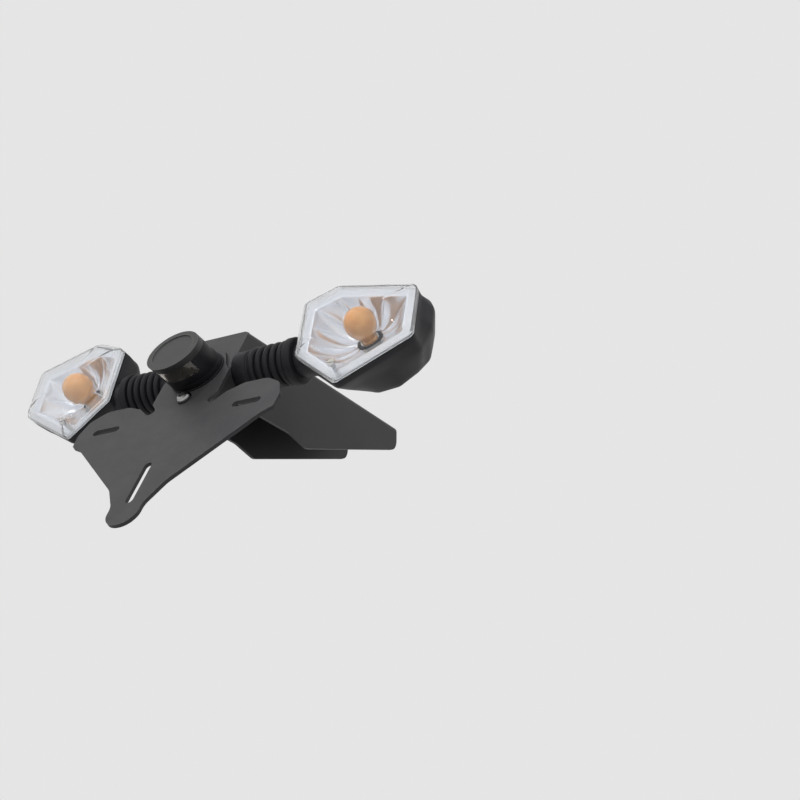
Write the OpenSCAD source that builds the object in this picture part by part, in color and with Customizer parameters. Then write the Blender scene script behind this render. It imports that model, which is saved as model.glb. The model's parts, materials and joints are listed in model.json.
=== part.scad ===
// Tail tidy for a motorbike: a folded main bracket under the tail, a tilted
// number plate bracket with its lamp, and two indicators on ribbed stems.
// Origin: centre of the four fixing holes, on the top face of the main bracket.
// +X is the bike's right, +Y points forward, +Z is up.

/* [Number plate bracket] */
// Lean of the plate bracket from the vertical, its foot to the rear
plate_tilt = 30; // [22:1:36]
// Sheet thickness of the plate bracket
plate_t = 3; // [2:0.5:4]
// Distance between the centres of the two upper slots
slot_span = 128; // [118:1:134]
// Length of an upper slot
slot_len = 25; // [18:1:30]
// Width of every number plate slot
slot_w = 6.5; // [5:0.5:8]
// Sheet left between an upper slot's outer end and the arm's side
arm_end = 15.5; // [12:0.5:24]
// Half of the width of the tongue that carries the lamp
tongue_half = 30; // [28:1:33]
// Height of the tongue above the line of the upper slots
tongue_h = 78; // [77:1:84]
// Drop from the upper slots to the top of the lower slot
low_slot_drop = 51; // [48:1:58]
// Length of the lower slot
low_slot_len = 42; // [34:1:50]
// Half of the width of the lower lobe
lobe_r = 14; // [12:0.5:17]

/* [Main bracket] */
// Outside width of the channel
channel_w = 54; // [52:1:56]
// Sheet thickness of the channel
channel_t = 2.5; // [2:0.5:3]
// Outside radius of the channel's two long bends
bend_r = 5; // [4:0.5:7]
// Depth of the side walls at the rear
wall_h = 65; // [62:1:68]
// Deepest point of the side walls below the top face
belly_h = 70; // [70:1:74]
// Depth of the side walls at the front end
nose_h = 22; // [16:1:26]
// Reach of the main bracket in front of the fixing pattern
front_reach = 103; // [95:1:112]
// Distance from the fixing pattern back to the upper slots
slot_back = 190; // [187:1:198]
// Drop from the top face to the upper slots
slot_drop = 86; // [83:1:90]
// Spacing of the fixing holes across the bike
fix_x = 28; // [24:1:30]
// Spacing of the fixing holes along the bike
fix_y = 110; // [90:1:120]
// Radius of a fixing hole, for a 6 mm bolt
fix_r = 3.25; // [3.2:0.05:3.5]

/* [Plate lamp] */
// Diameter of the lamp barrel
lamp_d = 43; // [40:1:46]
// Height of the lamp's face above the plate bracket
lamp_h = 32; // [30:1:36]
// Lean of the barrel towards the number plate
lamp_lean = 20; // [14:1:24]
// Height of the lamp's foot above the upper slots
lamp_v = 52; // [51:1:53]
// Wall of the lamp barrel
lamp_wall = 2.2; // [1.6:0.2:3]
// Half of the angle that the lamp window spans round the underside
window_a = 55; // [40:1:65]
// Width of the lamp window along the barrel
window_w = 12; // [9:1:14]
// Distance between the two lamp studs
lamp_stud_span = 20; // [18:1:22]

/* [Indicators] */
// Distance of the lamp axis from the middle of the bike
ind_x = 135; // [132:1:140]
// Distance of the lens face in front of the upper slots
ind_y = 30; // [28:1:33]
// Height of the lamp axis above the upper slots
ind_z = 61.5; // [59:0.5:64]
// Outward turn of an indicator
ind_toe = 6.5; // [3:0.5:9]
// Rake of the lens, its top to the front
ind_pitch = 16; // [12:1:20]
// Depth of the clear lens
lens_depth = 10; // [9:1:12]
// Wall of the lens and of the housing
shell_t = 2; // [1.6:0.2:2.4]
// Thickness of the rubber seal behind the lens
seal_t = 1.5; // [1:0.25:2]
// Depth of the housing behind the seal
housing_depth = 50; // [48:1:54]
// Diameter of the amber bulb
bulb_d = 25; // [21:1:26]

/* [Stems] */
// Radius of a stem over its ribs
stem_r = 17.5; // [16.5:0.5:18]
// Radius of a stem in its grooves
groove_r = 14.5; // [12:0.5:15.5]
// Number of ribs on a stem
rib_n = 5; // [4:1:5]
// Distance from one rib to the next
rib_pitch = 6.5; // [6:0.25:6.75]
// Length of the plain collar beside the channel
collar_len = 13.5; // [10:0.5:14]
// Distance of the stems in front of the upper slots
stem_y = 47; // [46.5:0.5:49]
// Height of the stems above the upper slots
stem_z = 47; // [44:0.5:48]
// Radius of the hollow stud through a stem
stud_r = 5; // [4:0.5:6]

/* [Hidden] */

// Clearance between a round piece and the hole that it passes through
fit = 0.25;
// Overshoot of a cut past the face that it opens
over = 1;
// Length that surely reaches past the whole part
far = 600;
// Steps in each rounded corner of an outline
arc_steps = 5;
// Resolution of exact round forms
$fn = 64;

black_sheet = "#3c3c3d";
black_plastic = "#26262a";
rubber_black = "#2c2c2e";
bright_metal = "#b8babd";
clear_plastic = "#dfe6ec";
silver_dish = "#d5d7da";
amber = "#d8873a";

// Line of the upper slots and axis of the stems, in the main frame
slot_y = -slot_back;
slot_z = -slot_drop;
stem_yy = slot_y + stem_y;
stem_zz = slot_z + stem_z;
slot_x = slot_span / 2;
arm_half = slot_x + slot_len / 2 + arm_end;

// Fixings through the tongue and the channel's rear flange
bolt_r = 3;
lamp_stud_r = 2.5;
washer_t = 1.2;
grip = plate_t + channel_t;
function washer_r(r) = r * 2.1;

// Rubber pad under the lamp, and the bolt just below that pad
pad_t = 1.5;
pad_rim = 0.8;
bolt_gap = 0.4;
pad_low = (lamp_d / 2 + pad_rim) / cos(lamp_lean) + pad_t * tan(lamp_lean);
bolt_v = lamp_v - pad_low - washer_r(bolt_r) - bolt_gap;

// Cable holes, the larger one in the top face with its grommet
cable_r = 4;
grommet_r = 7;
grommet_y = -fix_y / 2 - 42;
grommet_lip = 2;

// Unit vector, flat part of a point, and the shorter way round from a to b
function unit(v) = v / norm(v);
function xy(p) = [p[0], p[1]];
function turn(a, b) = let (d = b - a) d > 180 ? d - 360 : d < -180 ? d + 360 : d;

// Corner p of an outline, rounded by its radius p[2], between points a and b
function corner(a, p, b) =
    let (da = unit(xy(a) - xy(p)), db = unit(xy(b) - xy(p)))
    let (half = acos(max(-1, min(1, da * db))) / 2)
    let (c = xy(p) + unit(da + db) * p[2] / sin(half))
    let (s = xy(p) + da * p[2] / tan(half) - c, e = xy(p) + db * p[2] / tan(half) - c)
    let (a0 = atan2(s[1], s[0]), sweep = turn(a0, atan2(e[1], e[0])))
    [for (i = [0 : arc_steps])
        c + p[2] * [cos(a0 + sweep * i / arc_steps), sin(a0 + sweep * i / arc_steps)]];

// Outline with each point [x, y, r] rounded, and the mirror image added to a right half
function rounded(pts) = let (n = len(pts))
    [for (i = [0 : n - 1]) each pts[i][2] == 0 ? [xy(pts[i])]
        : corner(pts[(i + n - 1) % n], pts[i], pts[(i + 1) % n])];
function mirrored(half) = concat(half,
    [for (i = [len(half) - 1 : -1 : 0]) [-half[i][0], half[i][1], half[i][2]]]);

// Number plate bracket.
// Its local frame: x across, y up the sheet from the slots' line, z out of its rear face
module on_plate() translate([0, slot_y, slot_z]) rotate([90 - plate_tilt, 0, 0]) children();

arm_top = 25;
notch_v = 10;
lobe_wall = 8;
lobe_v = -low_slot_drop - low_slot_len - lobe_wall;

// Right half of the sheet's outline, from the tongue down to the lobe
plate_half = [
    [tongue_half / 2, tongue_h, 10],
    [tongue_half - 6, lamp_v + 4, 8],
    [tongue_half, lamp_v - 5, 6],
    [tongue_half, notch_v + 12, 6],
    [tongue_half - 7, notch_v + 3, 3],
    [tongue_half - 1, notch_v - 2, 3],
    [tongue_half + 10, arm_top - 6, 5],
    [slot_x - slot_len / 2 + 2, arm_top, 12],
    [slot_x + 10, arm_top, 14],
    [arm_half - 5, arm_top - 9, 8],
    [arm_half, 2, 8],
    [arm_half - 1, -12, 4],
    [arm_half - 10, -17, 10],
    [lobe_r + 11, lobe_v + 26, 22],
    [lobe_r, lobe_v + 6, 16],
    [lobe_r, lobe_v - lobe_r, lobe_r - 0.5]];

module slot_cut(len, depth) {
    for (s = [-1, 1]) translate([s * (len - slot_w) / 2, 0, 0]) cylinder(r = slot_w / 2, h = depth);
    translate([-(len - slot_w) / 2, -slot_w / 2, 0]) cube([len - slot_w, slot_w, depth]);
}

module at_lamp_studs() for (s = [-1, 1]) translate([s * lamp_stud_span / 2, lamp_v, 0]) children();

// Holes for the bolt, the lamp studs and the lamp's cable, between two heights
module tongue_holes(z0, z1) {
    translate([0, bolt_v, z0]) cylinder(r = bolt_r + fit, h = z1 - z0);
    at_lamp_studs() translate([0, 0, z0]) cylinder(r = lamp_stud_r + fit, h = z1 - z0);
    translate([0, lamp_v, z0]) cylinder(r = cable_r, h = z1 - z0);
}

module plate_bracket() color(black_sheet) on_plate() difference() {
    translate([0, 0, -plate_t]) linear_extrude(plate_t) polygon(rounded(mirrored(plate_half)));
    for (s = [-1, 1]) translate([s * slot_x, 0, -plate_t - over]) slot_cut(slot_len, plate_t + 2 * over);
    translate([0, -low_slot_drop - low_slot_len / 2, -plate_t - over]) rotate([0, 0, 90])
        slot_cut(low_slot_len, plate_t + 2 * over);
    tongue_holes(-plate_t - over, over);
}

// Main bracket: a channel, open below, with a flange folded down at its rear.
// Lower end of that flange below the top face, one edge past the bolt's washer
tab_edge = 1.1;
tab_h = slot_drop - (bolt_v - washer_r(bolt_r) - tab_edge) * cos(plate_tilt);

// Where the tongue's front face lies at height z, and where the side walls change slope
function seat_y(z) = slot_y + (z - slot_z) * tan(plate_tilt) + plate_t / cos(plate_tilt);

belly_y = slot_y + 142;
slope_y = slot_y + 116;

side_outline = [
    [seat_y(0), 0, 0],
    [seat_y(-tab_h), -tab_h, 0],
    [seat_y(-tab_h) + 22, -tab_h, 5],
    [seat_y(-wall_h) + 28, -wall_h, 6],
    [slope_y, -wall_h, 20],
    [belly_y, -belly_h, 14],
    [front_reach, -nose_h, 12],
    [front_reach, 0, 0]];

section_outline = [
    [-channel_w / 2, -far, 0],
    [-channel_w / 2, 0, bend_r],
    [channel_w / 2, 0, bend_r],
    [channel_w / 2, -far, 0],
    [channel_w / 2 - channel_t, -far, 0],
    [channel_w / 2 - channel_t, -channel_t, bend_r - channel_t],
    [-channel_w / 2 + channel_t, -channel_t, bend_r - channel_t],
    [-channel_w / 2 + channel_t, -far, 0]];

module side_solid() rotate([90, 0, 90]) linear_extrude(channel_w, center = true)
    polygon(rounded(side_outline));

module channel_solid() translate([0, far / 2, 0]) rotate([90, 0, 0]) linear_extrude(far)
    polygon(rounded(section_outline));

// The folded flange, between the side walls and below the top sheet's middle
module rear_flange() intersection() {
    on_plate() translate([-channel_w / 2 + channel_t / 2, -far / 2, -grip])
        cube([channel_w - channel_t, far, channel_t]);
    translate([-far / 2, -far, -far - channel_t / 2]) cube([far, far * 2, far]);
}

module main_bracket() color(black_sheet) difference() {
    intersection() {
        side_solid();
        union() {
            channel_solid();
            rear_flange();
        }
    }
    on_plate() tongue_holes(-grip - far / 20, over);
    for (x = [-1, 1], y = [-1, 1]) translate([x * fix_x / 2, y * fix_y / 2, -channel_t - over])
        cylinder(r = fix_r, h = channel_t + 2 * over);
    translate([0, grommet_y, -channel_t - over]) cylinder(r = grommet_r, h = channel_t + 2 * over);
    translate([-channel_w, stem_yy, stem_zz]) rotate([0, 90, 0])
        cylinder(r = stud_r + fit, h = channel_w * 2);
}

// Rubber ring pressed up into the cable hole of the top sheet, flush with its upper face
module cable_grommet() color(rubber_black) translate([0, grommet_y, 0]) rotate_extrude() polygon([
    [grommet_r - grommet_lip, -channel_t - grommet_lip],
    [grommet_r + grommet_lip, -channel_t - grommet_lip],
    [grommet_r + grommet_lip, -channel_t],
    [grommet_r, -channel_t],
    [grommet_r, 0],
    [grommet_r - grommet_lip, 0]]);

// Fasteners, each drawn up from z = 0 in proportion to its radius.
// Domed screw head with a hexagon socket
module domed_head(r) difference() {
    rotate_extrude() polygon([[0, 0], [r * 1.8, 0], [r * 1.8, r * 0.25], [r * 1.5, r * 0.75],
        [r, r * 1.05], [0, r * 1.1]]);
    translate([0, 0, r * 0.45]) cylinder(r = r * 0.75, h = r, $fn = 6);
}

module washer(r) difference() {
    cylinder(r = washer_r(r), h = washer_t);
    translate([0, 0, -over]) cylinder(r = r + fit, h = washer_t + 2 * over);
}

// Locking nut with its round collar
module lock_nut(r) difference() {
    union() {
        cylinder(r = r * 1.92, h = r * 1.6, $fn = 6);
        cylinder(r = r * 1.5, h = r * 2);
    }
    translate([0, 0, -over]) cylinder(r = r + fit, h = r * 2 + 2 * over);
}

// What a shank needs past the sheets: a washer, the nut and one thread
function past(r) = washer_t + r * 2 + over;

module plate_bolt() color(bright_metal) on_plate() translate([0, bolt_v, washer_t]) {
    domed_head(bolt_r);
    translate([0, 0, -washer_t - grip - past(bolt_r)])
        cylinder(r = bolt_r, h = washer_t + grip + past(bolt_r) + bolt_r * 0.2);
}

module plate_washers() color(bright_metal) on_plate() translate([0, bolt_v, 0]) {
    washer(bolt_r);
    translate([0, 0, -grip - washer_t]) washer(bolt_r);
}

module plate_nut() color(bright_metal) on_plate()
    translate([0, bolt_v, -grip - washer_t]) mirror([0, 0, 1]) lock_nut(bolt_r);

module lamp_studs() color(bright_metal) on_plate() at_lamp_studs()
    translate([0, 0, -grip - past(lamp_stud_r)])
        cylinder(r = lamp_stud_r, h = grip + past(lamp_stud_r) + pad_t + stud_seat);

module lamp_washers() color(bright_metal) on_plate() at_lamp_studs()
    translate([0, 0, -grip - washer_t]) washer(lamp_stud_r);

module lamp_nuts() color(bright_metal) on_plate() at_lamp_studs()
    translate([0, 0, -grip - washer_t]) mirror([0, 0, 1]) lock_nut(lamp_stud_r);

// Plate lamp: pad, foot with two studs, leaning barrel with a window below, and cap
foot_t = 5;
stud_seat = 3.5;
cap_t = 6;
cap_rim = 4.5;
cap_sink = 0.8;
lamp_r = lamp_d / 2;
foot_z = pad_t + foot_t;
cap_z = lamp_h - cap_t;
window_z = cap_z - window_w;

// Slice of the leaning barrel between two planes parallel to the sheet
module barrel(r, z0, z1) intersection() {
    translate([0, lamp_v, 0]) rotate([lamp_lean, 0, 0]) cylinder(r = r, h = far, center = true);
    translate([-lamp_d, lamp_v - lamp_d * 2, z0]) cube([lamp_d * 2, lamp_d * 4, z1 - z0]);
}

// Wedge round the barrel's underside, as wide as the window plus a margin in degrees
module under_wedge(margin) translate([0, lamp_v, 0]) rotate([lamp_lean, 0, 0])
    linear_extrude(far, center = true) polygon([[0, 0],
        lamp_d * [-sin(window_a + margin), -cos(window_a + margin)],
        lamp_d * [-sin(window_a + margin), -2],
        lamp_d * [sin(window_a + margin), -2],
        lamp_d * [sin(window_a + margin), -cos(window_a + margin)]]);

module lamp_pad() color(rubber_black) on_plate() difference() {
    barrel(lamp_r + pad_rim, 0, pad_t);
    tongue_holes(-over, pad_t + over);
}

module lamp_base() color(black_plastic) on_plate() difference() {
    barrel(lamp_r, pad_t, foot_z);
    at_lamp_studs() cylinder(r = lamp_stud_r + fit, h = pad_t + stud_seat);
    translate([0, lamp_v, 0]) cylinder(r = cable_r, h = far);
}

module lamp_body() color(black_plastic) on_plate() difference() {
    barrel(lamp_r, foot_z, cap_z);
    barrel(lamp_r - lamp_wall, foot_z - over, cap_z + over);
    intersection() {
        barrel(lamp_d, window_z, cap_z + over);
        under_wedge(0);
    }
}

module lamp_window() color(clear_plastic) on_plate() intersection() {
    difference() {
        barrel(lamp_r, window_z, cap_z);
        barrel(lamp_r - lamp_wall, window_z - over, cap_z + over);
    }
    under_wedge(-1);
}

module lamp_cap() color(black_plastic) on_plate() difference() {
    barrel(lamp_r, cap_z, lamp_h);
    barrel(lamp_r - cap_rim, lamp_h - cap_sink, lamp_h + over);
}

// The small bulb stands on the lamp's foot, over the cable hole
small_cap_r = 7;
small_cap_h = 6;
small_bulb_r = 4.6;
module lamp_axis() on_plate() translate([0, lamp_v - foot_z * tan(lamp_lean), foot_z]) children();

module lamp_bulb_cap() color(bright_metal) lamp_axis() cylinder(r = small_cap_r, h = small_cap_h);

module lamp_bulb() color(clear_plastic) lamp_axis() translate([0, 0, small_cap_h]) {
    cylinder(r = small_bulb_r, h = small_cap_h);
    translate([0, 0, small_cap_h]) rotate_extrude() intersection() {
        circle(r = small_bulb_r);
        square(small_bulb_r);
    }
}

// Stems: a plain collar beside the channel, then ribbed rubber on a hollow stud
stem_x0 = channel_w / 2 + collar_len;
flange_t = 7.5;
flange_rim = 1;
stem_len = rib_n * rib_pitch + flange_t;
stem_x1 = stem_x0 + stem_len;
stud_nut_t = 8;
stud_wall = 2;
stud_in = channel_t + washer_t + stud_nut_t + 2 * over;
wire_r = stud_r - stud_wall;

module along_stem(x) translate([x, stem_yy, stem_zz]) rotate([0, 90, 0]) children();

module collar() color(black_plastic) along_stem(channel_w / 2) difference() {
    rotate_extrude() polygon([[0, 0], [stem_r - 1, 0], [stem_r - 1, collar_len - 2.5],
        [stem_r - 2.5, collar_len - 1], [stem_r - 2.5, collar_len], [0, collar_len]]);
    translate([0, 0, -over]) cylinder(r = stud_r + fit, h = collar_len + 2 * over);
}

// Ribs as round-topped rings, worked out one by one along the stem
rib_profile = [for (i = [0 : rib_n - 1]) each let (z = i * rib_pitch) [
    [groove_r, z],
    [groove_r, z + rib_pitch * 0.34],
    [stem_r - 0.7, z + rib_pitch * 0.42],
    [stem_r, z + rib_pitch * 0.54],
    [stem_r, z + rib_pitch * 0.8],
    [stem_r - 0.7, z + rib_pitch * 0.92],
    [groove_r, z + rib_pitch]]];

module stem() color(rubber_black) along_stem(stem_x0) difference() {
    rotate_extrude() polygon(concat([[0, 0]], rib_profile, [
        [stem_r + flange_rim, stem_len - flange_t + 0.5],
        [stem_r + flange_rim, stem_len - 1],
        [stem_r, stem_len],
        [0, stem_len]]));
    translate([0, 0, -over]) cylinder(r = stud_r + fit, h = stem_len / 2 + over);
    translate([0, 0, -over]) cylinder(r = wire_r, h = stem_len + 2 * over);
}

module stud() color(bright_metal) along_stem(channel_w / 2 - stud_in) difference() {
    cylinder(r = stud_r, h = stud_in + collar_len + stem_len / 2);
    translate([0, 0, -over]) cylinder(r = wire_r, h = far);
}

module stud_washer() color(bright_metal)
    along_stem(channel_w / 2 - channel_t - washer_t) difference() {
        cylinder(r = stud_r * 2, h = washer_t);
        translate([0, 0, -over]) cylinder(r = stud_r + fit, h = washer_t + 2 * over);
    }

module stud_nut() color(bright_metal)
    along_stem(channel_w / 2 - channel_t - washer_t - stud_nut_t) difference() {
        cylinder(r = stud_r * 1.9, h = stud_nut_t, $fn = 6);
        translate([0, 0, -over]) cylinder(r = stud_r + fit, h = stud_nut_t + 2 * over);
    }

// Indicators.
// Their local frame: x outward, y up, z to the rear out of the lens, whose face is z = 0
module on_indicator() translate([ind_x, slot_y + ind_y, slot_z + ind_z])
    rotate([0, 0, ind_toe]) rotate([90 - ind_pitch, 0, 0]) children();

// Outline of the lens round the lamp axis: a hexagon with a drooping lower corner
lens_outline = [
    [-47, -20, 3],
    [-46.5, 30, 3],
    [-19, 42.5, 5],
    [45.5, 30, 5],
    [45.5, -15.5, 6],
    [-12.5, -49.5, 4]];

// Outline of the housing at its widest, and near its back
belly_outline = [
    [-44, -14, 8],
    [-44, 32, 8],
    [-20, 44, 8],
    [46, 36, 8],
    [51, 26, 8],
    [51.5, 8, 8],
    [44, -15, 8],
    [-12, -41, 6]];
back_outline = [
    [-28, -8, 10],
    [-29, 22, 10],
    [-12, 38, 10],
    [30, 42, 10],
    [40, 34, 8],
    [41.5, 20, 8],
    [40.5, -1, 8],
    [32, -11.5, 8],
    [18, -23, 8],
    [0, -26, 8],
    [-20, -16, 8]];

// Inward normal of the edge from a to b, and an outline drawn inward by d
function edge_n(a, b) = let (e = unit(xy(b) - xy(a))) [e[1], -e[0]];
function inset_point(a, p, b, d) =
    let (n1 = edge_n(a, p), n2 = edge_n(p, b), m = unit(n1 + n2))
    xy(p) + m * d / (m * n1);
function inset(pts, d) = let (n = len(pts))
    [for (i = [0 : n - 1]) let (p = pts[i])
        concat(inset_point(pts[(i + n - 1) % n], p, pts[(i + 1) % n], d), [max(p[2] - d / 2, 1)])];

module slice(pts, d, z0, z1) translate([0, 0, z0]) linear_extrude(z1 - z0)
    polygon(rounded(inset(pts, d)));
module lens_slice(d, z0, z1) slice(lens_outline, d, z0, z1);

lens_back = -lens_depth;
seal_back = lens_back - seal_t;
housing_back = seal_back - housing_depth;
belly_z = seal_back - housing_depth * 0.37;
shoulder_z = housing_back + 5;
shoulder_w = 8;
thin = 0.5;
bevel = 4;
edge_z = -5;
face_z = -1;
crown_w = 15;
crown_z = 4;
seal_w = 4.5;
rim_t = 1.2;
dish_t = 1.2;
dish_depth = 26;
bulb_r = bulb_d / 2;
bulb_y = 6;
bulb_z = -11.5;
glass_end = bulb_z - bulb_r * 1.5;
cap_r = 7.5;
holder_r = 10;
holder_z = lens_back - dish_depth - 5;
screw_at = [-12, -38.5];
screw_r = 1.5;
post_r = 3.2;
post_gap = 9;

module at_bulb(z) translate([0, bulb_y, z]) children();
module at_screw(z) translate([screw_at[0], screw_at[1], z]) children();

module lens() color(clear_plastic) on_indicator() difference() {
    union() {
        difference() {
            hull() {
                lens_slice(0, lens_back, edge_z);
                lens_slice(bevel, edge_z, face_z);
                lens_slice(crown_w, face_z, crown_z);
            }
            hull() {
                lens_slice(shell_t, lens_back - over, edge_z - shell_t / 2);
                lens_slice(bevel + shell_t / 2, edge_z - shell_t, face_z - shell_t);
                lens_slice(crown_w, face_z - shell_t, crown_z - shell_t);
            }
        }
        at_screw(lens_back + rim_t + fit) cylinder(r = post_r, h = lens_depth - rim_t - fit - over);
    }
    at_screw(-far / 2) cylinder(r = screw_r + fit, h = far);
    at_screw(0) cylinder(r = screw_r * 2 + fit, h = far);
}

module seal() color(rubber_black) on_indicator() difference() {
    lens_slice(0, seal_back, lens_back);
    lens_slice(seal_w, seal_back - over, lens_back + over);
}

module housing_form(d, extra) hull() {
    lens_slice(d, seal_back - 5, seal_back + extra);
    slice(belly_outline, d, belly_z, belly_z + thin);
    slice(back_outline, d, shoulder_z, shoulder_z + thin);
    slice(back_outline, shoulder_w + d, housing_back + d, housing_back + d + thin);
}

// Radius of the housing's neck on the stem, and how far it stays short of the lamp axis
neck_r = 13.5;
neck_reach = 20;

// Hollow shell, its neck towards the stem, and a post for the lens screw
module housing() color(black_plastic) difference() {
    union() {
        difference() {
            union() {
                on_indicator() housing_form(0, 0);
                intersection() {
                    along_stem(stem_x1)
                        cylinder(r1 = neck_r, r2 = neck_r + 2, h = ind_x - stem_x1 - neck_reach);
                    on_indicator() translate([-far / 2, -far / 2, seal_back - far]) cube(far);
                }
            }
            on_indicator() housing_form(shell_t, over);
        }
        intersection() {
            on_indicator() housing_form(shell_t / 2, 0);
            on_indicator() at_screw(-far) cylinder(r = post_r, h = far + seal_back - post_gap);
        }
    }
    along_stem(stem_x1 - over) cylinder(r = wire_r, h = ind_x - stem_x1);
    on_indicator() at_screw(seal_back - post_gap * 2) cylinder(r = screw_r + fit, h = far);
}

// Silver dish: a flat rim seated on the seal and walls that close in on the bulb
module dish(d) hull() {
    lens_slice(seal_w + fit + d, lens_back - 1.5, lens_back + rim_t);
    translate([0, bulb_y, lens_back - dish_depth + d]) cylinder(r = bulb_r + 3 - d, h = thin, $fn = 32);
}

module reflector() color(silver_dish) on_indicator() difference() {
    union() {
        lens_slice(shell_t + fit, lens_back, lens_back + rim_t);
        dish(0);
    }
    dish(dish_t);
    lens_slice(seal_w + fit + dish_t, lens_back, over);
    at_bulb(-far) cylinder(r = holder_r + fit, h = far + lens_back - rim_t);
    at_screw(-far) cylinder(r = screw_r + fit, h = far);
}

// Pear-shaped glass, drawn as a half profile and revolved about the lamp axis
module bulb() color(amber) on_indicator() at_bulb(bulb_z) rotate_extrude() intersection() {
    union() {
        circle(r = bulb_r);
        polygon([[0, -bulb_r * 1.5], [cap_r - 0.8, -bulb_r * 1.5],
            [cap_r - 0.8, -bulb_r * 1.2], [bulb_r * 0.85, -bulb_r * 0.53], [0, 0]]);
    }
    translate([0, -bulb_d * 2]) square([bulb_d, bulb_d * 4]);
}

module bulb_cap() color(bright_metal) on_indicator()
    at_bulb(holder_z) cylinder(r = cap_r, h = glass_end - holder_z);

module bulb_holder() color(black_plastic) on_indicator() difference() {
    at_bulb(housing_back + shell_t)
        cylinder(r = holder_r, h = glass_end - over - housing_back - shell_t);
    at_bulb(holder_z) cylinder(r = cap_r + fit, h = far);
    at_bulb(-far) cylinder(r = wire_r, h = far);
}

// Slotted screw through the lens and the reflector's wall into the housing's post
module lens_screw() color(bright_metal) on_indicator() {
    at_screw(0) difference() {
        cylinder(r = screw_r * 2, h = screw_r);
        translate([-screw_r * 2, -screw_r / 4, screw_r / 2]) cube([screw_r * 4, screw_r / 2, screw_r]);
    }
    at_screw(seal_back - post_gap * 2 + over)
        cylinder(r = screw_r, h = post_gap * 2 - over - seal_back + screw_r / 4);
}

// Both sides
module on_left() mirror([1, 0, 0]) children();

main_bracket();
plate_bracket();
cable_grommet();
plate_bolt();
plate_washers();
plate_nut();
lamp_pad();
lamp_base();
lamp_body();
lamp_cap();
lamp_window();
lamp_bulb();
lamp_bulb_cap();
lamp_studs();
lamp_washers();
lamp_nuts();
collar();  // right_collar
stem();  // right_stem
stud();  // right_stud
stud_washer();  // right_stud_washer
stud_nut();  // right_stud_nut
housing();  // right_housing
seal();  // right_seal
lens();  // right_lens
lens_screw();  // right_lens_screw
reflector();  // right_reflector
bulb();  // right_bulb
bulb_cap();  // right_bulb_cap
bulb_holder();  // right_bulb_holder
on_left() collar();  // left_collar
on_left() stem();  // left_stem
on_left() stud();  // left_stud
on_left() stud_washer();  // left_stud_washer
on_left() stud_nut();  // left_stud_nut
on_left() housing();  // left_housing
on_left() seal();  // left_seal
on_left() lens();  // left_lens
on_left() lens_screw();  // left_lens_screw
on_left() reflector();  // left_reflector
on_left() bulb();  // left_bulb
on_left() bulb_cap();  // left_bulb_cap
on_left() bulb_holder();  // left_bulb_holder
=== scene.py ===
"""Looks of the tail tidy: a material for every CAD node, and finer pieces for the lenses,
reflectors, stems, housings and the plate bracket.
Lengths are in millimetres in the CAD's own local frames, and become metres in mesh()."""

import json
import math

import bmesh
import bpy
from mathutils import Matrix, Vector


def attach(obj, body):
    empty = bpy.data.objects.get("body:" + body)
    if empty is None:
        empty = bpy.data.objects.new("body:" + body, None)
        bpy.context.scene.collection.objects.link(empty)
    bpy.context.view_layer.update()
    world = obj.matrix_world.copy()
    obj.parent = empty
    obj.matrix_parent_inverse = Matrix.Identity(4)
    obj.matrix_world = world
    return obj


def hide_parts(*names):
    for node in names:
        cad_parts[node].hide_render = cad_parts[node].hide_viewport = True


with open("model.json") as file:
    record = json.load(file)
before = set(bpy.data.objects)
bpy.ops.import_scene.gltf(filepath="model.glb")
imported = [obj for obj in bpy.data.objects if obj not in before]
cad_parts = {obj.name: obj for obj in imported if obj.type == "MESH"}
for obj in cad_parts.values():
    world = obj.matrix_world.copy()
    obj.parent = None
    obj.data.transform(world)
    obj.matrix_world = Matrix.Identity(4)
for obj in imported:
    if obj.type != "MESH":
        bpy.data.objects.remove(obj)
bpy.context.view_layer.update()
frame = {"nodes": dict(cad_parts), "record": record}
nodes = frame["nodes"]
MM = 0.001
SIDES = (("right", False), ("left", True))

# The CAD's own values, in its own names: the slots' line, the sheet's lean, the fit of loose pieces
slot_y, slot_z, plate_tilt, fit = -190.0, -86.0, 30.0, 0.25

# Indicators: place and lean, then the lens and the seal behind it
ind_x, ind_y, ind_z, ind_toe, ind_pitch = 135.0, 30.0, 61.5, 6.5, 16.0
lens_depth, shell_t, seal_t = 10.0, 2.0, 1.5
edge_z, face_z, crown_z, bevel, crown_w = -5.0, -1.0, 4.0, 4.0, 15.0

# Housing, reflector and bulb
housing_depth, belly_share, shoulder_h, shoulder_w = 50.0, 0.37, 5.0, 8.0
rim_t, dish_t, dish_depth, bulb_y = 1.2, 1.2, 26.0, 6.0

# Stems
stem_x0, stem_y, stem_z, stem_r, groove_r, wire_r = 40.5, 47.0, 47.0, 17.5, 14.5, 3.0
rib_n, rib_pitch, flange_t, flange_rim = 5, 6.5, 7.5, 1.0

# Plate bracket
plate_t, slot_span, slot_len, slot_w, arm_end = 3.0, 128.0, 25.0, 6.5, 15.5
low_slot_drop, low_slot_len, lobe_r, lobe_wall = 51.0, 42.0, 14.0, 8.0
tongue_half, tongue_h, arm_top, notch_v = 30.0, 78.0, 25.0, 10.0

# Plate lamp, whose pad sets the place of the bolt below it
lamp_d, lamp_lean, lamp_v, lamp_stud_span, lamp_stud_r, cable_r = 43.0, 20.0, 52.0, 20.0, 2.5, 4.0
pad_t, pad_rim, bolt_r, bolt_gap, washer_share = 1.5, 0.8, 3.0, 0.4, 2.1
lean = math.radians(lamp_lean)
pad_low = (lamp_d / 2 + pad_rim) / math.cos(lean) + pad_t * math.tan(lean)
bolt_v = lamp_v - pad_low - washer_share * bolt_r - bolt_gap

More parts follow.
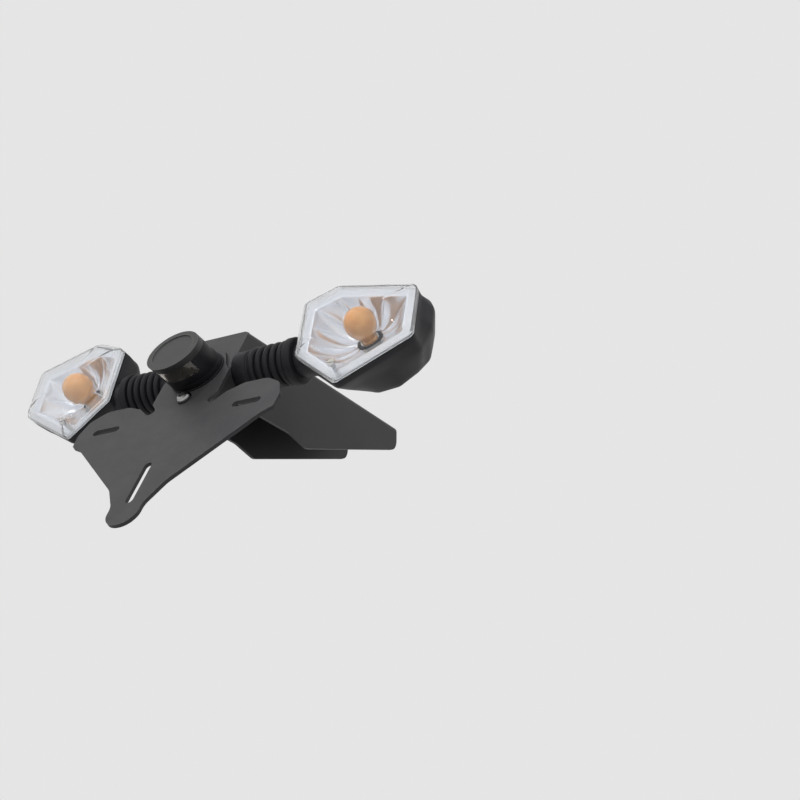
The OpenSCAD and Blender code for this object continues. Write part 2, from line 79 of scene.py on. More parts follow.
# Outlines of the indicator: x, y and corner radius
belly_outline = [(-44, -14, 8), (-44, 32, 8), (-20, 44, 8), (46, 36, 8),
                 (51, 26, 8), (51.5, 8, 8), (44, -15, 8), (-12, -41, 6)]
back_outline = [(-28, -8, 10), (-29, 22, 10), (-12, 38, 10), (30, 42, 10), (40, 34, 8), (41.5, 20, 8),
                (40.5, -1, 8), (32, -11.5, 8), (18, -23, 8), (0, -26, 8), (-20, -16, 8)]
lens_outline = [(-47, -20, 3), (-46.5, 30, 3), (-19, 42.5, 5),
                (45.5, 30, 5), (45.5, -15.5, 6), (-12.5, -49.5, 4)]


# Outlines and local frames
def corner(a, p, b, steps):
    """Points of the corner at p, rounded by p[2], between its neighbours a and b."""
    v, r = Vector(p[:2]), p[2]
    da, db = (Vector(a[:2]) - v).normalized(), (Vector(b[:2]) - v).normalized()
    half = math.acos(max(-1, min(1, da.dot(db)))) / 2
    c = v + (da + db).normalized() * r / math.sin(half)
    s, e = v + da * r / math.tan(half) - c, v + db * r / math.tan(half) - c
    a0, a1 = math.atan2(s.y, s.x), math.atan2(e.y, e.x)
    sweep = (a1 - a0 + math.pi) % (2 * math.pi) - math.pi
    turns = [a0 + sweep * i / steps for i in range(steps + 1)]
    return [(c.x + r * math.cos(t), c.y + r * math.sin(t)) for t in turns]


def rounded(points, steps):
    """A closed outline with every corner rounded."""
    n = len(points)
    return [q for i in range(n) for q in corner(points[i - 1], points[i], points[(i + 1) % n], steps)]


def inset(points, d):
    """The outline drawn inward by d, its corner radii shrunk as in the CAD."""
    out, n = [], len(points)
    for i in range(n):
        a, p, b = points[i - 1], points[i], points[(i + 1) % n]
        e1 = Vector((p[0] - a[0], p[1] - a[1])).normalized()
        e2 = Vector((b[0] - p[0], b[1] - p[1])).normalized()
        n1, n2 = Vector((e1.y, -e1.x)), Vector((e2.y, -e2.x))
        m = (n1 + n2).normalized()
        q = Vector(p[:2]) + m * d / m.dot(n1)
        out.append((q.x, q.y, max(p[2] - d / 2, 1)))
    return out


def ring(d, z, steps=6, between=5):
    """One closed ring of the lens outline at inset d and height z, with points along its sides too."""
    points, n, out = inset(lens_outline, d), len(lens_outline), []
    arcs = [corner(points[i - 1], points[i], points[(i + 1) % n], steps) for i in range(n)]
    for i, turn in enumerate(arcs):
        last, nxt = turn[-1], arcs[(i + 1) % n][0]
        out += turn
        for k in range(1, between):
            t = k / between
            out.append((last[0] * (1 - t) + nxt[0] * t, last[1] * (1 - t) + nxt[1] * t))
    return [(x, y, z) for x, y in reversed(out)]


def reach(points, cx, cy, a):
    """Distance from (cx, cy) to a closed ring of points in the direction a."""
    nearly = 1e-9
    dx, dy, n, best = math.cos(a), math.sin(a), len(points), 0.0
    for i in range(n):
        x0, y0 = points[i][0] - cx, points[i][1] - cy
        ex, ey = points[(i + 1) % n][0] - cx - x0, points[(i + 1) % n][1] - cy - y0
        det = dx * -ey + dy * ex
        if abs(det) > nearly:
            t, u = (x0 * -ey + y0 * ex) / det, (dx * y0 - dy * x0) / det
            if t > 0 and -nearly <= u <= 1 + nearly:
                best = max(best, t)
    return best


AT_INDICATOR = (Matrix.Translation((ind_x, slot_y + ind_y, slot_z + ind_z))
                @ Matrix.Rotation(math.radians(ind_toe), 4, "Z")
                @ Matrix.Rotation(math.radians(90 - ind_pitch), 4, "X"))
AT_STEM = (Matrix.Translation((stem_x0, slot_y + stem_y, slot_z + stem_z))
           @ Matrix.Rotation(math.radians(90), 4, "Y"))
ON_PLATE = (Matrix.Translation((0, slot_y, slot_z))
            @ Matrix.Rotation(math.radians(90 - plate_tilt), 4, "X"))


# Meshes
def mesh(name, verts, faces, place, mats, smooth, left=False, which=None):
    """A new piece from a local frame in mm, set in the row frame in metres, mirrored for the left side."""
    flip = Matrix.Scale(-1, 4, (1, 0, 0)) if left else Matrix.Identity(4)
    world = Matrix.Scale(MM, 4) @ flip @ place
    data = bpy.data.meshes.new(name)
    turned = [tuple(reversed(f)) if left else tuple(f) for f in faces]
    data.from_pydata([world @ Vector(v) for v in verts], [], turned)
    data.validate()
    data.shade_smooth()
    data.set_sharp_from_angle(angle=math.radians(smooth))
    for mat in mats:
        data.materials.append(mat)
    for face, number in zip(data.polygons, which or []):
        face.material_index = number
    piece = bpy.data.objects.new(name, data)
    bpy.context.scene.collection.objects.link(piece)
    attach(piece, "root")
    return piece


def loft(rings, cap_first=False, cap_last=False):
    """Points and faces of a skin over closed rings of equal length, with its ends closed where asked."""
    verts, faces, n = [p for r in rings for p in r], [], len(rings[0])
    for k in range(len(rings) - 1):
        for i in range(n):
            j = (i + 1) % n
            faces.append((k * n + i, k * n + j, (k + 1) * n + j, (k + 1) * n + i))
    for wanted, k in ((cap_first, 0), (cap_last, len(rings) - 1)):
        if wanted:
            c = len(verts)
            verts.append(tuple(sum(p[a] for p in rings[k]) / n for a in range(3)))
            for i in range(n):
                j = (i + 1) % n
                faces.append((c, k * n + j, k * n + i) if k == 0 else (c, k * n + i, k * n + j))
    return verts, faces


def moved(faces, base):
    """Faces whose points come after base others."""
    return [tuple(i + base for i in f) for f in faces]


def hollow(outer, inner):
    """A closed shell: outer rings from the rim to the far end, inner ones from there back to the rim."""
    n = len(outer[0])
    verts, faces = loft(outer, cap_last=True)
    inner_verts, inner_faces = loft(inner, cap_first=True)
    base = len(verts)
    start = base + (len(inner) - 1) * n
    rim = [((i + 1) % n, i, start + i, start + (i + 1) % n) for i in range(n)]
    return verts + inner_verts, faces + moved(inner_faces, base) + rim


def lathe(profile, count):
    """A profile of (radius, height) points turned about the local z axis."""
    turns = [2 * math.pi * i / count for i in range(count)]
    return loft([[(r * math.cos(t), r * math.sin(t), z) for t in turns] for r, z in profile])


def soften(piece, width):
    """Round an object's sharp edges by a width in mm."""
    weld = piece.modifiers.new("weld", "WELD")
    weld.merge_threshold = 1e-5
    rounding = piece.modifiers.new("edges", "BEVEL")
    rounding.width = width * MM
    rounding.segments = 3
    rounding.limit_method = "ANGLE"
    rounding.angle_limit = math.radians(38)
    rounding.use_clamp_overlap = True
    rounding.harden_normals = True


# Shader nodes
def material(name, color, rough, metallic=0.0, **sockets):
    """A new material, with its node tree and its shader."""
    mat = bpy.data.materials.new(name)
    mat.use_nodes = True
    shader = mat.node_tree.nodes["Principled BSDF"]
    shader.inputs["Base Color"].default_value = (*color, 1)
    shader.inputs["Roughness"].default_value = rough
    shader.inputs["Metallic"].default_value = metallic
    for key, value in sockets.items():
        shader.inputs[key.replace("_", " ")].default_value = value
    return mat, mat.node_tree, shader


def node(tree, kind, **values):
    """A shader node with its inputs set."""
    made = tree.nodes.new("ShaderNode" + kind)
    for key, value in values.items():
        made.inputs[key.replace("_", " ")].default_value = value
    return made


def coords(tree):
    """Object coordinates, in metres."""
    return node(tree, "TexCoord").outputs["Object"]


def noise(tree, source, scale, detail, rough, distortion=0.0):
    """Cloudy noise over a position."""
    made = node(tree, "TexNoise", Scale=scale, Detail=detail, Roughness=rough, Distortion=distortion)
    tree.links.new(source, made.inputs["Vector"])
    return made.outputs["Fac"]


def remap(tree, source, low, high, new_low, new_high):
    """The range low to high brought to new_low to new_high, and held there."""
    made = node(tree, "MapRange", From_Min=low, From_Max=high, To_Min=new_low, To_Max=new_high)
    tree.links.new(source, made.inputs["Value"])
    return made.outputs["Result"]


def math_node(tree, kind, a, b):
    """One operation on two values, each a number or another node's output."""
    made = node(tree, "Math")
    made.operation = kind
    for key, value in enumerate((a, b)):
        if isinstance(value, (int, float)):
            made.inputs[key].default_value = value
        else:
            tree.links.new(value, made.inputs[key])
    return made.outputs[0]


def dot_node(tree, a, b):
    """Dot product of an output with another, or with a fixed direction."""
    made = node(tree, "VectorMath")
    made.operation = "DOT_PRODUCT"
    tree.links.new(a, made.inputs[0])
    if isinstance(b, tuple):
        made.inputs[1].default_value = b
    else:
        tree.links.new(b, made.inputs[1])
    return made.outputs["Value"]


def mix_color(tree, fac, a, b):
    """From a to b, each a colour or another node's output."""
    made = node(tree, "Mix")
    made.data_type = "RGBA"
    tree.links.new(fac, made.inputs["Factor"])
    for key, value in (("A", a), ("B", b)):
        sock = [s for s in made.inputs if s.name == key and s.type == "RGBA"][0]
        if isinstance(value, tuple):
            sock.default_value = (*value, 1)
        else:
            tree.links.new(value, sock)
    return [s for s in made.outputs if s.type == "RGBA"][0]


def bump(tree, shader, height, strength, distance):
    """Fine relief from a height, its distance in metres."""
    made = node(tree, "Bump", Strength=strength, Distance=distance)
    tree.links.new(height, made.inputs["Height"])
    tree.links.new(made.outputs["Normal"], shader.inputs["Normal"])


def edge_mask(tree, radius):
    """Where the surface turns sharply within radius, from 0 to 1."""
    starts, full = 0.98, 0.75
    softened = node(tree, "Bevel", Radius=radius)
    softened.samples = 6
    surface = node(tree, "NewGeometry")
    likeness = dot_node(tree, softened.outputs["Normal"], surface.outputs["Normal"])
    return remap(tree, likeness, starts, full, 0, 1)


def faces_up(tree):
    """How far the surface faces up, from 0 to 1."""
    starts = 0.2
    surface, parts = node(tree, "NewGeometry"), node(tree, "SeparateXYZ")
    tree.links.new(surface.outputs["Normal"], parts.inputs[0])
    return remap(tree, parts.outputs["Z"], starts, 1.0, 0, 1)


# Materials
def coated_sheet():
    """Satin powder coat: fine orange peel, slight clouds, paler grey in patches on what faces up, and rubbed
    edges.
    """
    dark, pale, speck_grey = (0.045, 0.045, 0.049), (0.058, 0.058, 0.059), (0.16, 0.16, 0.16)
    upward_grey, worn_grey, worn_width = (0.17, 0.165, 0.16), (0.2, 0.2, 0.2), 0.0007
    mat, tree, shader = material("black_sheet", (0.052, 0.052, 0.054), 0.5, Specular_IOR_Level=0.27)
    xyz = coords(tree)
    cloud = noise(tree, xyz, 14, 4, 0.6)
    speck = noise(tree, xyz, 1100, 2, 0.6)
    upward_patches = remap(tree, noise(tree, xyz, 60, 5, 0.7), 0.4, 0.7, 0.05, 0.3)
    rubbed = remap(tree, noise(tree, xyz, 120, 4, 0.7), 0.42, 0.62, 0.1, 0.75)
    mixed = mix_color(tree, remap(tree, cloud, 0.3, 0.7, 0, 1), dark, pale)
    mixed = mix_color(tree, remap(tree, speck, 0.62, 0.8, 0, 0.35), mixed, speck_grey)
    # Paler grey in noisy patches where the surface faces up.
    upward_share = math_node(tree, "MULTIPLY", faces_up(tree), upward_patches)
    edge_paleness = math_node(tree, "MULTIPLY", edge_mask(tree, worn_width), rubbed)
    mixed = mix_color(tree, edge_paleness, mix_color(tree, upward_share, mixed, upward_grey), worn_grey)
    tree.links.new(mixed, shader.inputs["Base Color"])
    tree.links.new(remap(tree, cloud, 0.3, 0.7, 0.44, 0.56), shader.inputs["Roughness"])
    bump(tree, shader, noise(tree, xyz, 900, 2, 0.5), 0.35, 0.00012)
    return mat


def moulded(name, color, rough, gloss, grain=2200, strength=0.3, light=2.2, edge=0.0006, edge_paleness=1.4):
    """Moulded plastic or rubber: fine grain, faint flow marks, and edges painted paler as a highlight."""
    edge_share = 0.45
    mat, tree, shader = material(name, color, rough, Specular_IOR_Level=gloss)
    xyz = coords(tree)
    flow = noise(tree, xyz, 45, 4, 0.6, 0.4)
    pale = tuple(c * light for c in color)
    palest = tuple(c * light * edge_paleness for c in color)
    mixed = mix_color(tree, remap(tree, flow, 0.35, 0.7, 0, 0.35), color, pale)
    # Edges within the edge radius are mixed toward palest: a painted highlight along every edge.
    mixed = mix_color(tree, math_node(tree, "MULTIPLY", edge_mask(tree, edge), edge_share), mixed, palest)
    tree.links.new(mixed, shader.inputs["Base Color"])
    tree.links.new(remap(tree, flow, 0.3, 0.7, rough - 0.06, rough + 0.08), shader.inputs["Roughness"])
    bump(tree, shader, noise(tree, xyz, grain, 2, 0.5), strength, 0.00008)
    return mat


def plated(name, threads=None, low=(0.56, 0.58, 0.62), high=(0.68, 0.66, 0.60)):
    """Zinc plate: bluish and yellowish clouds, fine grain, and a thread along one axis where asked."""
    grain_share = 0.1
    mat, tree, shader = material(name, low, 0.3, 1.0)
    xyz = coords(tree)
    tint = noise(tree, xyz, 130, 4, 0.6)
    mixed = mix_color(tree, remap(tree, tint, 0.35, 0.65, 0, 1), low, high)
    tree.links.new(mixed, shader.inputs["Base Color"])
    tree.links.new(remap(tree, tint, 0.3, 0.7, 0.24, 0.4), shader.inputs["Roughness"])
    grain = noise(tree, xyz, 1500, 2, 0.5)
    if threads:
        axis, pitch = threads
        turn = math_node(tree, "PINGPONG", dot_node(tree, xyz, axis), pitch * MM / 2)
        tall = math_node(tree, "MULTIPLY", turn, 2 / (pitch * MM))
        ridged = math_node(tree, "ADD", tall, math_node(tree, "MULTIPLY", grain, grain_share))
        bump(tree, shader, ridged, 0.8, 0.0004)
    else:
        bump(tree, shader, grain, 0.15, 0.00005)
    return mat


def clear_moulding(name, color, rough, frost=0.0):
    """Clear plastic or glass with faint flow waves, which lamps shine through almost fully."""
    lamp_share = 0.98
    mat, tree, shader = material(name, color, rough, Transmission_Weight=1.0 - frost, IOR=1.49,
                                 Specular_IOR_Level=0.5)
    flow = noise(tree, coords(tree), 70, 3, 0.5, 0.6)
    tree.links.new(remap(tree, flow, 0.3, 0.7, rough, rough + 0.05), shader.inputs["Roughness"])
    bump(tree, shader, flow, 0.12, 0.0004)
    path, gap, mix = node(tree, "LightPath"), node(tree, "BsdfTransparent"), node(tree, "MixShader")
    tree.links.new(math_node(tree, "MULTIPLY", path.outputs["Is Shadow Ray"], lamp_share), mix.inputs[0])
    tree.links.new(shader.outputs[0], mix.inputs[1])
    tree.links.new(gap.outputs[0], mix.inputs[2])
    tree.links.new(mix.outputs[0], tree.nodes["Material Output"].inputs["Surface"])
    return mat


def silvered():
    """Vacuum metallised plastic: bright, faintly cloudy, its flow lines just visible."""
    bright, dull = (0.95, 0.97, 1.0), (0.87, 0.90, 0.96)
    mat, tree, shader = material("reflector_silver", (0.94, 0.96, 1.0), 0.22, 0.72)
    cloud = noise(tree, coords(tree), 90, 4, 0.6, 0.5)
    mixed = mix_color(tree, remap(tree, cloud, 0.35, 0.7, 0, 1), bright, dull)
    tree.links.new(mixed, shader.inputs["Base Color"])
    tree.links.new(remap(tree, cloud, 0.3, 0.7, 0.18, 0.28), shader.inputs["Roughness"])
    bump(tree, shader, cloud, 0.15, 0.0004)
    return mat


def lacquered():
    """Amber lacquer over glass: cloudy in depth, under a clear, glossy surface."""
    pale, deep = (1.0, 0.50, 0.14), (0.92, 0.38, 0.08)
    mat, tree, shader = material("amber_glass", (0.98, 0.46, 0.12), 0.12, Transmission_Weight=0.2,
                                 IOR=1.45, Coat_Weight=1.0, Coat_Roughness=0.03)
    cloud = noise(tree, coords(tree), 110, 4, 0.6, 0.6)
    mixed = mix_color(tree, remap(tree, cloud, 0.3, 0.7, 0, 1), pale, deep)
    tree.links.new(mixed, shader.inputs["Base Color"])
    bump(tree, shader, cloud, 0.1, 0.0004)
    return mat


plate_axis = (0.0, -math.cos(math.radians(plate_tilt)), math.sin(math.radians(plate_tilt)))
stem_axis = (1.0, 0.0, 0.0)
sheet = coated_sheet()
plastic = moulded("black_plastic", (0.023, 0.023, 0.026), 0.44, 0.22)
# Darker and paler copies of the black plastic. The darker one is painted shade on the lamp's body and base,
# and also goes on the collars. The paler one is painted light on the lamp's cap, whose edges get a strong
# painted highlight.
dark_plastic = moulded("black_plastic_dark", (0.012, 0.012, 0.014), 0.48, 0.2)
cap_plastic = moulded("black_plastic_cap", (0.047, 0.049, 0.046), 0.48, 0.3, light=1.5, edge=0.0014,
                      edge_paleness=3.0)
rubber = moulded("black_rubber", (0.013, 0.013, 0.015), 0.5, 0.2, grain=1300, strength=0.35, light=1.8)
dark_zinc = plated("zinc_dark", low=(0.055, 0.055, 0.06), high=(0.095, 0.09, 0.085))
bolt_zinc = plated("zinc_bolt", low=(0.34, 0.35, 0.37), high=(0.44, 0.43, 0.40))
plate_thread = plated("zinc_thread_plate", (plate_axis, 1.0))
stem_thread = plated("zinc_thread_stem", (stem_axis, 1.25))
clear = clear_moulding("clear_plastic", (0.97, 0.98, 1.0), 0.02)
clear_edge = clear_moulding("clear_plastic_edge", (0.95, 0.96, 0.97), 0.12, frost=0.15)
milky = clear_moulding("clear_plastic_window", (0.84, 0.77, 0.68), 0.08, frost=0.05)
silver = silvered()

# Every CAD node's material: by its slot, or its own
BY_SLOT = {"black_sheet": sheet, "black_plastic": plastic, "black_rubber": rubber, "zinc": plated("zinc"),
           "clear_plastic": clear, "reflector_silver": silver, "amber_glass": lacquered(),
           "bulb_glass": clear_moulding("bulb_glass", (0.95, 0.90, 0.80), 0.15, frost=0.75)}
# The lamp's body and base take the darker copy as painted shade, and its cap takes the paler copy as painted
# light.
BY_NODE = {"plate_washers": dark_zinc, "plate_bolt": bolt_zinc, "lamp_studs": plate_thread,
           "lamp_body": dark_plastic, "lamp_base": dark_plastic, "lamp_cap": cap_plastic,
           "lamp_window": milky}
for side, _ in SIDES:
    BY_NODE[side + "_stud"] = stem_thread
    BY_NODE[side + "_collar"] = dark_plastic
slots = {s["node"]: s["material_slot"] for s in frame["record"]["subparts"]}
for name, piece in nodes.items():
    own = BY_NODE.get(name, BY_SLOT[slots[name]])
    if not piece.material_slots:
        piece.data.materials.append(own)
    for s in piece.material_slots:
        s.material = own

# Rounded edges on nodes that stay as the CAD has them, in mm
SOFT_EDGE = {"main_bracket": 0.5, "cable_grommet": 0.5, "plate_nut": 0.3, "plate_washers": 0.2,
             "lamp_cap": 1.3, "lamp_base": 0.6, "lamp_body": 0.3, "lamp_pad": 0.4, "lamp_nuts": 0.25,
             "lamp_washers": 0.2}
for side, _ in SIDES:
    for kind, width in (("collar", 0.5), ("seal", 0.3), ("stud_nut", 0.4), ("stud_washer", 0.2)):
        SOFT_EDGE[side + "_" + kind] = width
for name, width in SOFT_EDGE.items():
    soften(nodes[name], width)

# Lens: the crown's rings by inset, then by share of the last one, and how the crown rises over them
crown_insets, crown_shares, crown_mid = (6.5, 9, 12, crown_w), (0.8, 0.55, 0.3), (0.0, 2.0)
crown_run, crown_done, crown_left, crown_steep = 24, 0.46, 0.55, 1.15


# Indicators
def dome(t):
    """Height of the lens's crown from its bevel (t = 0) to the middle (t = 1)."""
    return face_z + (crown_z - face_z) * math.sin(min(t * crown_steep, 1) * math.pi / 2)


def crown(sink):
    """Rings of the crown from the bevel to near its middle, lowered by sink."""
    rings = [ring(d, dome((d - bevel) / crown_run) - sink) for d in crown_insets]
    cx, cy = crown_mid
    last = rings[-1]
    for s in crown_shares:
        z = dome(crown_done + (1 - s) * crown_left) - sink
        rings.append([(cx + (x - cx) * s, cy + (y - cy) * s, z) for x, y, _ in last])
    return rings


def lens_shell(side, left):
    """Clear cover as one closed shell: a straight edge, a bevel, and a domed face."""
    outside = [(0, -lens_depth), (0, edge_z - 0.6), (0.15, edge_z - 0.1), (0.5, edge_z + 0.4),
               (bevel - 0.6, face_z - 0.7), (bevel, face_z - 0.25), (bevel + 0.7, face_z + 0.15)]
    inside = [(bevel + 1.2, face_z - shell_t), (shell_t + 0.6, edge_z - 0.9),
              (shell_t, edge_z - 1.6), (shell_t, -lens_depth)]
    outer = [ring(d, z) for d, z in outside] + crown(0)
    inner = crown(shell_t)[::-1] + [ring(d, z) for d, z in inside]
    verts, faces = hollow(outer, inner)
    n = len(outer[0])
    plain, edge = [0] * n, [1] * n
    outer_bands, inner_bands = 5, 3
    which = edge * outer_bands + plain * (len(outer) - outer_bands)
    which += plain * (len(inner) - 1 - inner_bands) + edge * inner_bands + plain + edge
    piece = mesh(side + "_lens_shell", verts, faces, AT_INDICATOR, (clear, clear_edge), 28, left, which)
    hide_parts(side + "_lens")


def dish(side, left):
    """Silver reflector: flat rim, rounded lip, and a bowl of sharp-ridged petals around the bulb."""
    petals, steps, throat, ridge_h, first_ridge = 14, 16, 10.6, 4.2, 0.35
    lip, lip_drop, bowl_drop = 9.4, 1.6, dish_depth - 4.0
    rim = ((shell_t + fit, 0), (4, 0), (7, 0), (8.2, 0.05), (8.8, 0.3), (9.2, 0.8), (lip, lip_drop))
    rim_z, end_z = -lens_depth + rim_t, -lens_depth - dish_depth
    count = petals * 18
    angles = [2 * math.pi * i / count for i in range(count)]

    def reaches(d):
        """Distance from the bulb's axis to the lens outline at inset d, at every angle."""
        outline = ring(d, 0)
        return [reach(outline, 0, bulb_y, a) for a in angles]

    def around(radii, heights):
        """One ring about the bulb's axis."""
        return [(r * math.cos(a), bulb_y + r * math.sin(a), z) for a, r, z in zip(angles, radii, heights)]

    rings = [around(reaches(d), [rim_z - z] * count) for d, z in rim]
    ridges = [(1 - abs(math.sin(a * petals / 2 + first_ridge))) ** 1.6 for a in angles]
    edge = reaches(lip)
    for k in range(1, steps + 1):
        t = k / steps
        closing = t ** 1.15
        z = rim_z - lip_drop - bowl_drop * math.sin(t * math.pi / 2) ** 0.9
        lift = ridge_h * math.sin(t * math.pi) ** 0.45
        rings.append(around([r * (1 - closing) + throat * closing for r in edge],
                            [z + lift * ridge for ridge in ridges]))
    rings.append([(x, y, end_z) for x, y, _ in rings[-1]])

    behind = []
    for k, row in enumerate(rings):
        out = dish_t * min(max(k - len(rim) + 1, 0) / steps, 1)
        sink = 0 if row is rings[-1] else dish_t
        behind.append([(x + out * math.cos(a), y + out * math.sin(a), z - sink)
                       for a, (x, y, z) in zip(angles, row)])
    verts, faces = loft(rings + behind[::-1])
    last = len(verts) - count
    faces += [(last + i, last + (i + 1) % count, (i + 1) % count, i) for i in range(count)]
    piece = mesh(side + "_reflector_bowl", verts, faces, AT_INDICATOR, (silver,), 26, left)
    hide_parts(side + "_reflector")


def ribbed_stem(side, left):
    """Rubber stem: flat-topped ribs with narrow grooves, and a flange against the housing's neck."""
    steps, groove_share, rib_share, flatness, seam = 24, 0.2, 0.78, 0.3, 0.02
    top, flange_z = stem_r + flange_rim, rib_n * rib_pitch
    total = flange_z + flange_t
    profile = [(wire_r, 0.0), (groove_r, 0.0)]
    for i in range(rib_n):
        for k in range(steps + 1):
            t = k / steps
            rise = math.sin(math.pi * min(max((t - groove_share) / rib_share, 0), 1))
            profile.append((groove_r + (stem_r - groove_r) * rise ** flatness,
                            i * rib_pitch + seam + (rib_pitch - seam) * t))
    profile += [(groove_r, flange_z + 0.05), (stem_r - 0.6, flange_z + 0.25), (top - 0.25, flange_z + 0.55),
                (top, flange_z + 1.1), (top, total - 1.7), (top - 0.3, total - 1.0),
                (stem_r - 0.3, total), (wire_r, total), (wire_r, 0.0)]
    verts, faces = lathe(profile, 112)
    piece = mesh(side + "_stem_rubber", verts, faces, AT_STEM, (rubber,), 50, left)
    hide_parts(side + "_stem")


def eased(points, share, steps=4):
    """A chain of points with each inner corner replaced by a short arc, which stays inside the corners."""
    out = [points[0]]
    for a, p, b in zip(points, points[1:], points[2:]):
        a, p, b = Vector(a), Vector(p), Vector(b)
        s, e = p.lerp(a, share), p.lerp(b, share)
        out += [tuple(s.lerp(p, k / steps).lerp(p.lerp(e, k / steps), k / steps)) for k in range(steps + 1)]
    return out + [points[-1]]


def housing_shell(side, left):
    """Housing: a shell from the lens's outline over a full belly to a rounded back, and its neck."""
    count, cx, cy, corner_steps, corner_share = 180, 2.0, 6.0, 8, 0.22
    neck_len, neck_end_r, neck_r, neck_ease = 16, 14.3, 13.5, 0.5
    seal_back = -lens_depth - seal_t
    back = seal_back - housing_depth
    sections = [(lens_outline, 0, seal_back), (lens_outline, 0, seal_back - shoulder_h),
                (belly_outline, 0, seal_back - belly_share * housing_depth),
                (back_outline, 0, back + shoulder_h), (back_outline, shoulder_w, back)]
    outlines = [(rounded(inset(o, d), corner_steps), z) for o, d, z in sections]
    columns = []
    for i in range(count):
        a = -2 * math.pi * i / count
        chain = []
        for outline, z in outlines:
            r = reach(outline, cx, cy, a)
            chain.append((cx + r * math.cos(a), cy + r * math.sin(a), z))
        columns.append(eased(chain + [(cx, cy, back)], corner_share)[:-1])
    outer = [[c[k] for c in columns] for k in range(len(columns[0]))]
    inner = []
    for row in reversed(outer):
        pulled = []
        for x, y, z in row:
            r = math.hypot(x - cx, y - cy)
            s = max(r - shell_t, 0) / r
            pulled.append((cx + (x - cx) * s, cy + (y - cy) * s, max(z, back + shell_t)))
        inner.append(pulled)
    verts, faces = hollow(outer, inner)
    verts = [AT_INDICATOR @ Vector(v) for v in verts]
    neck_verts, neck_faces = lathe([(wire_r, 0), (neck_r - neck_ease, 0), (neck_r, neck_ease),
                                    (neck_end_r, neck_len), (wire_r, neck_len), (wire_r, 0)], 96)
    at_neck = Matrix.Translation((rib_n * rib_pitch + flange_t, 0, 0)) @ AT_STEM
    faces += moved(neck_faces, len(verts))
    verts += [at_neck @ Vector(v) for v in neck_verts]
    piece = mesh(side + "_housing_shell", verts, faces, Matrix.Identity(4), (plastic,), 34, left)
    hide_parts(side + "_housing")


# Number plate bracket
def arc(cx, cy, r, start=0, sweep=360, steps=48):
    """Points of an arc about (cx, cy), without its last one when it closes."""
    n = steps if sweep == 360 else steps + 1
    turns = [math.radians(start + sweep * i / steps) for i in range(n)]
    return [(cx + r * math.cos(t), cy + r * math.sin(t)) for t in turns]


def slot_edge(cx, cy, length, upright=False):
    """Edge of a slot with round ends."""
    far, r, steps = (length - slot_w) / 2, slot_w / 2, 20
    if upright:
        return arc(cx, cy + far, r, 0, 180, steps) + arc(cx, cy - far, r, 180, 180, steps)
    return arc(cx + far, cy, r, -90, 180, steps) + arc(cx - far, cy, r, 90, 180, steps)


def flat_sheet(edges, thick):
    """Points and faces of a sheet with its face at z = 0, from its outside edge and those of its holes."""
    curve = bpy.data.curves.new("sheet_edges", "CURVE")
    curve.dimensions, curve.fill_mode, curve.extrude = "2D", "BOTH", thick / 2
    for edge in edges:
        spline = curve.splines.new("POLY")
        spline.points.add(len(edge) - 1)
        for point, (x, y) in zip(spline.points, edge):
            point.co = (x, y, 0, 1)
        spline.use_cyclic_u = True
    holder = bpy.data.objects.new("sheet_edges", curve)
    bm = bmesh.new()
    bm.from_mesh(bpy.data.meshes.new_from_object(holder))
    bmesh.ops.remove_doubles(bm, verts=bm.verts, dist=0.001)
    bmesh.ops.recalc_face_normals(bm, faces=bm.faces)
    bm.verts.index_update()
    verts = [(v.co.x, v.co.y, v.co.z - thick / 2) for v in bm.verts]
    faces = [tuple(v.index for v in f.verts) for f in bm.faces]
    bm.free()
    bpy.data.objects.remove(holder)
    return verts, faces


def plate_sheet():
    """The tilted sheet, from the CAD's own outline with finer arcs."""
    slot_x = slot_span / 2
    arm_half = slot_x + slot_len / 2 + arm_end
    lobe_v = -low_slot_drop - low_slot_len - lobe_wall
    half = [(tongue_half / 2, tongue_h, 10), (tongue_half - 6, lamp_v + 4, 8), (tongue_half, lamp_v - 5, 6),
            (tongue_half, notch_v + 12, 6), (tongue_half - 7, notch_v + 3, 3),
            (tongue_half - 1, notch_v - 2, 3), (tongue_half + 10, arm_top - 6, 5),
            (slot_x - slot_len / 2 + 2, arm_top, 12), (slot_x + 10, arm_top, 14),
            (arm_half - 5, arm_top - 9, 8), (arm_half, 2, 8), (arm_half - 1, -12, 4),
            (arm_half - 10, -17, 10), (lobe_r + 11, lobe_v + 26, 22), (lobe_r, lobe_v + 6, 16),
            (lobe_r, lobe_v - lobe_r, lobe_r - 0.5)]
    whole = half + [(-x, y, r) for x, y, r in reversed(half)]
    edges = [rounded(whole, 12), slot_edge(slot_x, 0, slot_len), slot_edge(-slot_x, 0, slot_len),
             slot_edge(0, -low_slot_drop - low_slot_len / 2, low_slot_len, True),
             arc(0, bolt_v, bolt_r + fit), arc(0, lamp_v, cable_r)]
    edges += [arc(s * lamp_stud_span / 2, lamp_v, lamp_stud_r + fit) for s in (-1, 1)]
    verts, faces = flat_sheet(edges, plate_t)
    piece = mesh("plate_sheet", verts, faces, ON_PLATE, (sheet,), 38)
    soften(piece, 0.5)
    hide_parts("plate_bracket")


plate_sheet()
for side, left in SIDES:
    lens_shell(side, left)
    housing_shell(side, left)
    dish(side, left)
    ribbed_stem(side, left)


# Stage, light and camera, in metres
def linear(v):
    """Linear value of an 8-bit sRGB one above the curve's foot."""
    return ((v / 255 + 0.055) / 1.055) ** 2.4


def seen_directly(tree):
    """1 for a ray from the camera, also by way of metal or glass, and 0 for one after a diffuse bounce."""
    path = node(tree, "LightPath")
    mirrored = math_node(tree, "MAXIMUM", path.outputs["Is Glossy Ray"], path.outputs["Is Transmission Ray"])
    first = math_node(tree, "LESS_THAN", path.outputs["Diffuse Depth"], 0.5)
    seen = math_node(tree, "MAXIMUM", path.outputs["Is Camera Ray"], mirrored)
    return math_node(tree, "MULTIPLY", seen, first)


